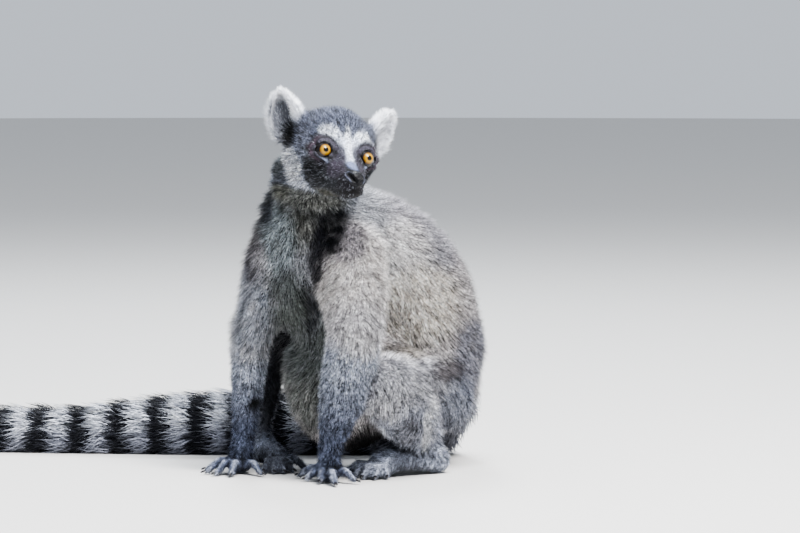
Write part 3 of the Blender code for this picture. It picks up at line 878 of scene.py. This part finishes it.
EYE_BANDS = [
    # degrees beyond the lid's edge, half width, colour, strength, where
    (30, 14, (30, 27, 34), 0.95, 1.0), (30, 8, (72, 60, 70), 0.7, outer),
    (10, 3.2, (58, 54, 66), 0.8, upper), (7, 3.6, (122, 130, 152), 0.85, under),
    (19, 4, (26, 23, 29), 0.95, upper), (18, 4, (30, 28, 34), 0.9, lower),
    (-2, 7, (7, 6, 8), 1.0, 1.0),
]
paint((36, 32, 40), 0.92 * round_eye)
for middle_of_band, width, shade, strength, where in EYE_BANDS:
    paint(shade, strength * hump(beyond - middle_of_band, width) * where * round_eye)
to_mouth, to_nostril = line_distance(mirrored, MOUTH), line_distance(mirrored, NOSTRIL)
paint((6, 5, 7), 0.95 * hump(to_mouth, 1.5) * is_head)
nostril_rim = hump(to_nostril - 2.7, 0.5) * ramp(side, 4.5, 6.5)
paint((120, 126, 148), 0.5 * nostril_rim * is_head)
paint((3, 3, 4), hump(to_nostril, 1.4) * is_head)
paint((112, 112, 102), 0.85 * ramp(z, -24, -29) * ramp(y, 44, 30) * is_head)
wet = blob(mirrored, (0, 67, -15), (7.4, 9, 6.8)) * is_head
wet = np.maximum(wet, 0.6 * hump(beyond - 2, 5) * round_eye)
print("cap", int(cap.sum()), "dark cheek", int(dark_cheek.sum()), "points")

# %% Markings of the ears
# The ears' cups are painted dark: partly their own colour, partly painted shade. The far ear's cup gets
# only a share of that paint, so it is painted in less shade than the near one.
FAR_CUP_SHADE_SHARE = 0.35
from_ear = mirrored - EAR_MIDDLE
facing = (normals @ HEAD * halves(face_points)) @ ear_facing
in_cup = ramp(facing, 0.15, 0.55) * ramp(np.abs(from_ear @ ear_across + 2.5), 11, 7.5)
in_cup *= ramp(np.abs(from_ear @ ear_along + 3), 19, 14) * on_ear
in_cup *= np.where(face_points[:, 0] > 0, FAR_CUP_SHADE_SHARE, 1)
paint((50, 54, 66), 0.88 * in_cup)
# Painted shade: the hollow at the root of the ear is painted black.
hollow = blob(mirrored, (36.5, -13, 16), (7.6, 11, 11)) * ramp(facing, -0.1, 0.3)
paint((6, 6, 8), hollow)
print("ear cups", int(in_cup.sum()), "points")

# %% [markdown]
# ## Finish of skin and hair
# The painted colour is kept on the points, as an attribute, and skin and hair read it. Flecks
# break it up, as strongly as the attribute's fourth value says. Bump gives the skin its pores, and
# a second attribute, the wetness, makes the nose and the edges of the lids shine.

# %% Materials
SHINE, SHEEN, WET_ROUGHNESS = 0.16, 0.05, 0.22


def add_node(material, kind, values=(), attribute=None, operation=None):
    node = material.node_tree.nodes.new("ShaderNode" + kind)
    if attribute:
        node.attribute_name = attribute
    if operation:
        node.operation = operation
    set_inputs(node, dict(values))
    return node


def connect(material, *wires):
    """Links sockets, each wire given as a node, its output, the next node and its input."""
    for start, output, end, socket in wires:
        material.node_tree.links.new(start.outputs[output], end.inputs[socket])


def painted_material(name, roughness, fleck_size, fleck, bump_size, bump, can_be_wet=False):
    values = {"Roughness": roughness, "Specular IOR Level": SHINE, "Sheen Weight": SHEEN}
    material = new_material(name, {**values, "Sheen Roughness": 0.5})
    shader = material.node_tree.nodes["Principled BSDF"]
    painted = add_node(material, "Attribute", attribute="Markings")
    coordinates = add_node(material, "TexCoord")
    flecks = add_node(material, "TexNoise", {"Scale": 1 / fleck_size, "Detail": 3})
    spread_out = {"From Min": 0.36, "From Max": 0.64, "To Min": -fleck, "To Max": fleck}
    strength = add_node(material, "MapRange", spread_out)
    peppered = add_node(material, "Math", {2: 1.0}, operation="MULTIPLY_ADD")
    mixed = add_node(material, "VectorMath", operation="SCALE")
    pores = add_node(material, "TexNoise", {"Scale": 1 / bump_size, "Detail": 4})
    relief = add_node(material, "Bump", {"Strength": bump, "Distance": bump_size})
    connect(
        material,
        (coordinates, "Object", flecks, "Vector"),
        (flecks, "Fac", strength, "Value"),
        (strength, "Result", peppered, 0),
        (painted, "Alpha", peppered, 1),
        (painted, "Color", mixed, 0),
        (peppered, "Value", mixed, "Scale"),
        (mixed, "Vector", shader, "Base Color"),
        (coordinates, "Object", pores, "Vector"),
        (pores, "Fac", relief, "Height"),
        (relief, "Normal", shader, "Normal"),
    )
    if can_be_wet:
        wetness = add_node(material, "Attribute", attribute="Wet")
        polish = add_node(material, "MapRange", {"To Min": roughness, "To Max": WET_ROUGHNESS})
        connect(
            material,
            (wetness, "Fac", polish, "Value"),
            (polish, "Result", shader, "Roughness"),
        )
    return material


def write_colours(mesh, colours, pepper=1.0):
    """Keeps the colours on the points, with the strength of the flecks as the fourth value."""
    attribute = mesh.color_attributes.new("Markings", "FLOAT_COLOR", "POINT")
    filled = np.ones((len(colours), 4), np.float32)
    filled[:, :3] = np.clip(colours, 0, 1)
    filled[:, 3] = pepper
    attribute.data.foreach_set("color", filled.ravel())


# name, roughness, size and strength of the flecks, size and strength of the bump
skin_finish = painted_material("short_furred_skin", 0.62, 1.4 * MM, 0.45, 0.6 * MM, 0.6, True)
hair_finish = painted_material("hair", 0.7, 2.2 * MM, 0.76, 0.5 * MM, 0.1)
fine_hair_finish = painted_material("fine_hair", 0.7, 1.4 * MM, 0.76, 0.5 * MM, 0.1)
UNDERCOAT = 0.92
skin_tint = tint * (UNDERCOAT + (1 - UNDERCOAT) * short_haired)[:, None]
write_colours(skin.data, skin_tint, coat[:, PEPPER])
wetness = skin.data.attributes.new("Wet", "FLOAT", "POINT")
wetness.data.foreach_set("value", wet.astype(np.float32))
skin.data.materials.clear()
skin.data.materials.append(skin_finish)
skin.data.shade_smooth()

# %% [markdown]
# ## The coat
# Each lock is a thin three-sided spike: broad where it leaves the skin, a point at its tip, and on
# the tail with a bend between. Roots are scattered over the skin, and a grid as wide as that
# part's spacing keeps one in each cell. All locks of one part of the body are one mesh.

# %% Scatter the roots
MOTTLE, CLUMP = 2.6 * MM, 5.5 * MM
random = np.random.default_rng(SEED)


skin.data.calc_loop_triangles()
triangles = read_array(skin.data.loop_triangles, "vertices", 3, np.int32)
first, second, third = points[triangles].transpose(1, 0, 2)
area = np.linalg.norm(np.cross(second - first, third - first), axis=1) / 2
spacing = coat[:, SPACING][triangles].mean(1) * MM
THICKEN = 4
wanted = random.poisson(THICKEN * area / spacing**2)
chosen = np.repeat(np.arange(len(triangles)), wanted)
random.shuffle(chosen)
weights = random.dirichlet((1, 1, 1), len(chosen))


def at_roots(values):
    """Values of the skin's points, read off at the roots."""
    picked = values[triangles[chosen]]
    return (picked * (weights if values.ndim == 1 else weights[:, :, None])).sum(1)


roots = at_roots(points)
cell = np.floor(roots / (at_roots(coat[:, SPACING]) * MM)[:, None]).astype(np.int64)
_, first = np.unique(cell, axis=0, return_index=True)
chosen, weights = chosen[first], weights[first]
print("roots:", len(first))

# %% Build the locks
PATCH = 0.003
BODY_PIECES = {
    "coat_head": ("head", "nose"), "coat_ears": ("ear",), "coat_neck": ("neck",),
    "coat_chest": ("chest",), "coat_back": ("abdomen",), "coat_upper_arms": ("upper_arm",),
    "coat_forearms": ("forearm", "hand"), "coat_thighs": ("thigh",),
    "coat_legs": ("shank", "foot"),
    "coat_tail_base": ("tail_1", "tail_2"), "coat_tail_end": ("tail_3", "tail_4", "tail_5"),
}
BENT = ("coat_tail_base", "coat_tail_end")
FINE_HAIRED = ("coat_head", "coat_ears")
MOST_LIFT = 48
LENGTHS, WIDTHS, LIFTS, LEAN = (0.72, 1.2), (0.7, 1.15), (0.6, 1.25), 0.2
BAND, DARKEST_BAND, PALEST_BAND = 0.24, 0.3, 1.6


def parts_of(names):
    """The numbers in FLESH of the named parts, or of the named kinds of part."""
    return [n for n, part in enumerate(FLESH) if part in names or kind(part) in names]


def unwrap(places, owners, members):
    """Round each part's own axis and along it, each part in its own strip of the unit square."""
    uv = np.zeros((len(places), 2))
    for strip, number in enumerate(members):
        name = FLESH[number]
        start, end = LIE.get(name, ("neck", "head"))
        axis = unit(part_middle[end] - part_middle[start])
        aside = unit(np.cross(axis, (0, 0, 1.0)))
        here = owners == number
        outward = places[here] - part_middle[name]
        run = outward @ axis
        around = np.arctan2(outward @ np.cross(axis, aside), outward @ aside) / (2 * np.pi) + 0.5
        length = (run - run.min()) / max(np.ptp(run), 1e-6)
        uv[here, 0] = (strip + 0.04 + 0.92 * length) / len(members)
        uv[here, 1] = 0.01 + 0.98 * around
    return uv


def spikes(picked, bends):
    """The points of closed spikes: three at the root, three at each bend, and one at the tip."""
    count = len(picked)
    root, lie, out = roots[picked], unit(root_flow[picked]), unit(root_normals[picked])
    aside = np.cross(out, lie)
    length, width = root_coat[picked, LENGTH] * MM, root_coat[picked, WIDTH] * MM
    length = length * random.uniform(*LENGTHS, count)
    width = width * random.uniform(*WIDTHS, count)
    lift = root_coat[picked, LIFT] * random.uniform(*LIFTS, count)
    lift = np.radians(np.minimum(lift * (1 + 0.8 * clump[picked, 0]), MOST_LIFT))
    lean = random.normal(0, LEAN, count) + 0.9 * clump[picked, 1] * root_coat[picked, PEPPER]
    path, ways = [root - out * (0.25 * width)[:, None]], []
    for step in range(bends + 1):
        rise = lift * (1.15 - 0.85 * step / max(bends, 1))
        way = lie * np.cos(rise)[:, None] + out * np.sin(rise)[:, None]
        ways.append(unit(way + aside * (lean * (step + 0.5))[:, None]))
        path.append(path[-1] + ways[-1] * (length / (bends + 1))[:, None])
    vertices = []
    for step, swell in enumerate((0.85, 1.0)[: bends + 1]):
        up = unit(np.cross(aside, ways[step]))
        half = (width * swell / 2)[:, None]
        middle_of_ring = path[step]
        vertices += [middle_of_ring + way * half for way in (-aside, aside, up * 0.9)]
    vertices = np.stack([*vertices, path[-1]], axis=1)
    vertices[:, :, 2] = np.maximum(vertices[:, :, 2], 0.4 * MM)
    return vertices


def spike_faces(count, bends):
    """Triangles of that many spikes: one under the root, six up to each bend, three to the tip."""
    per, top = 3 * bends + 4, 3 * bends
    faces = [(0, 2, 1)]
    for a in range(0, top, 3):
        for i in range(3):
            j = (i + 1) % 3
            faces += [(a + i, a + j, a + 3 + j), (a + i, a + 3 + j, a + 3 + i)]
    faces += [(top + i, top + (i + 1) % 3, per - 1) for i in range(3)]
    return np.array(faces)[None] + (per * np.arange(count))[:, None, None]


def build_locks(name, picked, bends):
    """One mesh of closed spikes with its colours and its UV map."""
    count = len(picked)
    vertices, faces = spikes(picked, bends), spike_faces(count, bends)
    per = vertices.shape[1]
    mesh = bpy.data.meshes.new(name)
    mesh.vertices.add(count * per)
    mesh.vertices.foreach_set("co", vertices.astype(np.float32).ravel())
    mesh.loops.add(faces.size)
    mesh.loops.foreach_set("vertex_index", faces.astype(np.int32).ravel())
    mesh.polygons.add(faces.size // 3)
    mesh.polygons.foreach_set("loop_start", np.arange(0, faces.size, 3, dtype=np.int32))
    mesh.update(calc_edges=True)
    pepper = root_coat[picked, PEPPER]
    shade = root_tint[picked] * root_light[picked][:, None]
    along = np.array([0.0] * 3 + [0.5] * 3 * bends + [1.0])
    bands = random.normal(1, BAND, (count, bends + 2)) * pepper[:, None] + 1 - pepper[:, None]
    level = np.repeat(np.arange(bends + 2), [3] * (bends + 1) + [1])
    light = (0.84 + 0.26 * along) * np.clip(bands, DARKEST_BAND, PALEST_BAND)[:, level]
    colours = (shade[:, None] * light[:, :, None]).reshape(-1, 3)
    write_colours(mesh, colours, np.repeat(pepper, per))
    corner_uv = unwrap(roots[picked], root_owner[picked], parts_of(BODY_PIECES[name]))
    spot = np.stack((np.tile((0.0, 1.0, 0.5), bends + 2)[:per], along), axis=1)
    uv = (corner_uv[:, None] * (1 - PATCH) + spot[None] * PATCH).reshape(-1, 2)
    layer = mesh.uv_layers.new(name="OFBake")
    layer.data.foreach_set("uv", uv[faces.ravel()].astype(np.float32).ravel())
    mesh.shade_smooth()
    mesh.materials.append(fine_hair_finish if name in FINE_HAIRED else hair_finish)
    obj = add_object(name, mesh)
    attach(obj, "root")
    print(name, count, "locks,", faces.size // 3, "triangles")


# %% Hair by hair
NO_HAIR = [((0, 68, -15), (8, 8, 7)), ((0, 53, -3), (4.5, 12, 5))]  # nose, and bridge of the nose
LIGHT_FLECK, DARK_FLECK, FLECKED = 0.3, 0.62, 0.26
FRINGE_SHARE, FRINGE_COLOUR = 0.3, np.array(colour(196, 200, 210))
SALT_SHARE, SALT_COLOUR = 0.24, np.array(colour(138, 141, 150))
roots, root_normals, root_flow = at_roots(points), at_roots(normals), at_roots(flow)
root_coat, root_tint = at_roots(coat), at_roots(tint)
root_owner = owner[triangles[chosen][:, 0]]
root_head = to_head(roots)
distance, beyond, _ = past_lid(root_head)
bare = (distance < 12.5) & (beyond < 26)
for centre, radii in NO_HAIR:
    bare |= radii_from(root_head, centre, radii) < 1
bare |= line_distance(root_head * halves(root_head), MOUTH) < 1.6
bare |= (roots[:, 2] < 3.5 * MM) & (root_normals[:, 2] < -0.3)
bare |= (at_roots(in_cup) > 0.5) & (random.random(len(roots)) < 0.55)
ear_fringe = at_roots(on_ear * (1 - in_cup) * ramp(from_ear @ ear_along, 24, 8))
cheek_tuft = at_roots(blob(mirrored, (32, -8, -14), (13, 14, 12)) * is_head)
root_coat[:, LENGTH] += ear_fringe * 3.2 + cheek_tuft * 4
root_coat[:, LIFT] += ear_fringe * 22 + cheek_tuft * 12
root_pepper = root_coat[:, PEPPER]
chance = random.random(len(roots))
fleck = LIGHT_FLECK * (chance > 1 - FLECKED) - DARK_FLECK * (chance < FLECKED)
mottle = np.array([noise.noise(Vector(p) / MOTTLE) for p in roots])
clump = np.array([noise.noise_vector(Vector(p) / CLUMP) for p in roots])
clump *= 1 - 0.6 * at_roots(is_head)[:, None]
root_light = random.normal(1.0, 0.07, len(roots))
root_light += (fleck + 1.8 * mottle + 0.6 * clump[:, 2]) * root_pepper
root_light = np.clip(root_light, 0.12, 2.0)
fringe = at_roots(in_cup) * (random.random(len(roots)) < FRINGE_SHARE)
root_tint += (FRINGE_COLOUR - root_tint) * (0.8 * fringe)[:, None]
salt = (random.random(len(roots)) < SALT_SHARE) * at_roots(is_head * face)
salt *= root_tint.max(1) < 0.1
root_tint += (SALT_COLOUR - root_tint) * (0.75 * salt)[:, None]
for name, kinds in BODY_PIECES.items():
    members = np.isin(root_owner, parts_of(kinds))
    build_locks(name, np.flatnonzero(members & ~bare), int(name in BENT))

# %% Thin the skin for its final mesh
MOST_TRIANGLES = 190000
keep_fine = np.clip(is_head + part_mask("hand", "foot", "ear"), 0, 1)
group = skin.vertex_groups.new(name="spared")
for level in range(1, 5):
    members = np.flatnonzero(np.round(4 * (1 - keep_fine)) == level)
    group.add(members.tolist(), level / 4, "REPLACE")
thin = skin.modifiers.new("thin", "DECIMATE")
thin.ratio = MOST_TRIANGLES / len(triangles)
thin.vertex_group = "spared"
thin.vertex_group_factor = 3
apply_modifiers(skin)
skin.vertex_groups.clear()
skin.data.calc_loop_triangles()
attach(skin, "root")
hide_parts(*FLESH)
print("skin:", len(skin.data.loop_triangles), "triangles")

# %% [markdown]
# ## Eyes
# A lemur's eye is a ball with a bulge in front, under a clear coat. The ball is painted with an amber
# iris with fine spokes and a small round pupil, round the middle of the bulge. The ball stands still
# in its lids, so the iris is painted by the angle from the way the eye looks.

# %% Eyeballs
GAZE_OUTWARD, GAZE_RAISED = math.radians(5), math.radians(8)
IRIS_ANGLE, PUPIL_ANGLE = 35.0, 12.0
BULGE, SPOKES = 1.0 * MM, 37
AMBER, PALE_AMBER, RIM = (Vector(colour(*c)) for c in ((144, 102, 14), (184, 146, 36), (70, 36, 8)))
PUPIL, PUPIL_EDGE = Vector((0.002, 0.002, 0.003)), Vector(colour(84, 42, 8))
SCLERA = Vector(colour(12, 7, 6))


def eye_axes(side, outward, raised):
    """Columns: across, forward and up of one eye, in the model's axes."""
    way = Vector((math.sin(outward) * side, math.cos(outward), math.sin(raised))).normalized()
    across = way.cross(Vector((0, 0, 1))).normalized() * -1
    up = across.cross(way) * -1
    turn = Matrix((across, way, up)).transposed()
    return head_axes @ turn


def iris_shade(angle, spin):
    """Colour of the ball at an angle from the middle of the pupil, spin being the way round it."""
    share = angle / IRIS_ANGLE
    if angle < PUPIL_ANGLE:
        return PUPIL
    if share >= 1:
        return SCLERA
    spokes = 0.5 + 0.5 * math.sin(spin * SPOKES + 3 * math.sin(angle * 0.6))
    shade = AMBER.lerp(PALE_AMBER, spokes * 0.8).lerp(RIM, max(0.0, share - 0.6) / 0.4)
    return shade.lerp(PUPIL_EDGE, max(0.0, 1 - (angle - PUPIL_ANGLE) / 5) * 0.7)


def add_eye(side, name):
    bm = bmesh.new()
    bmesh.ops.create_uvsphere(bm, u_segments=96, v_segments=64, radius=EYE_RADIUS * MM)
    bmesh.ops.rotate(bm, verts=bm.verts, matrix=Matrix.Rotation(-math.pi / 2, 3, "X"))
    shades = []
    for vert in bm.verts:
        way = vert.co.normalized()
        angle = math.degrees(math.acos(max(-1, min(1, way.y))))
        vert.co += way * (BULGE * max(0.0, 1 - (angle / (IRIS_ANGLE + 6)) ** 2) ** 1.5)
        shades.append(iris_shade(angle, math.atan2(way.z, way.x)))
    obj = new_object(name, bm)
    write_colours(obj.data, np.array(shades))
    obj.data.transform(eye_axes(side, GAZE_OUTWARD, GAZE_RAISED).to_4x4())
    place = skull + head_axes @ (Vector((EYE_SIDE * side, EYE_FORWARD, EYE_UP)) * MM)
    obj.data.transform(Matrix.Translation(place))
    if obj.data.polygons[0].normal.dot(obj.data.polygons[0].center - place) < 0:
        obj.data.flip_normals()
    obj.data.shade_smooth()
    obj.data.materials.append(eye_finish)
    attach(obj, "root")
    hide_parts(name.replace("eyeball", "eye"))


wet_values = {"Roughness": 0.3, "Specular IOR Level": 0.1}
clear_bulge = {"Coat Weight": 1.0, "Coat IOR": 1.45, "Coat Roughness": 0.02}
eye_finish = new_material("wet_eye", {**wet_values, **clear_bulge})
shader = eye_finish.node_tree.nodes["Principled BSDF"]
painted = add_node(eye_finish, "Attribute", attribute="Markings")
connect(eye_finish, (painted, "Color", shader, "Base Color"))
add_eye(1, "eyeball_left")
add_eye(-1, "eyeball_right")

# %% [markdown]
# ## Nails
# Each finger and toe ends in a small dark nail, a flattened drop that rides on the tip and looks
# over its end. They lie where the digits of the solid end.

# %% Nails
DIGITS = {
    # across and back of each tip in the body's plan, in millimetres
    "hand_left": [(-46, 34), (-38, 6), (-26, -14), (-12, -34), (6, -14)],
    "hand_right": [(-76, 44), (-104, 40), (-118, 48), (-127, 60), (-128, 82)],
    "foot_left": [(-6, 60), (2, 32), (11, 20), (22, 17), (32, 24)],
    "foot_right": [(-38, 92), (-50, 74), (-58, 66), (-67, 66), (-76, 72)],
}
NAIL_HALF = Vector((1.5, 2.7, 0.8))
NAIL_HEIGHT, NAIL_OVERHANG, NAIL_SLOPE = 3.4, 1.6, math.radians(24)
horn = {"Base Color": (*colour(22, 20, 24), 1), "Roughness": 0.35}
nail_finish = new_material("nail", horn)


for part, tips in DIGITS.items():
    bm = bmesh.new()
    palm = node_middle(part)
    for across, back in tips:
        tip = from_plan(across, back, NAIL_HEIGHT)
        ahead = Vector((tip.x - palm[0], tip.y - palm[1], 0)).normalized()
        turn = ahead.to_track_quat("Y", "Z").to_matrix() @ Matrix.Rotation(-NAIL_SLOPE, 3, "X")
        shape = Matrix.Translation(tip + ahead * NAIL_OVERHANG * MM) @ turn.to_4x4()
        shape = shape @ Matrix.Diagonal((*(NAIL_HALF * MM), 1))
        bmesh.ops.create_uvsphere(bm, u_segments=16, v_segments=10, radius=1, matrix=shape)
    nails = new_object("nails_" + part, bm)
    nails.data.shade_smooth()
    nails.data.materials.append(nail_finish)
    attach(nails, "root")
print("nails on", len(DIGITS), "hands and feet")
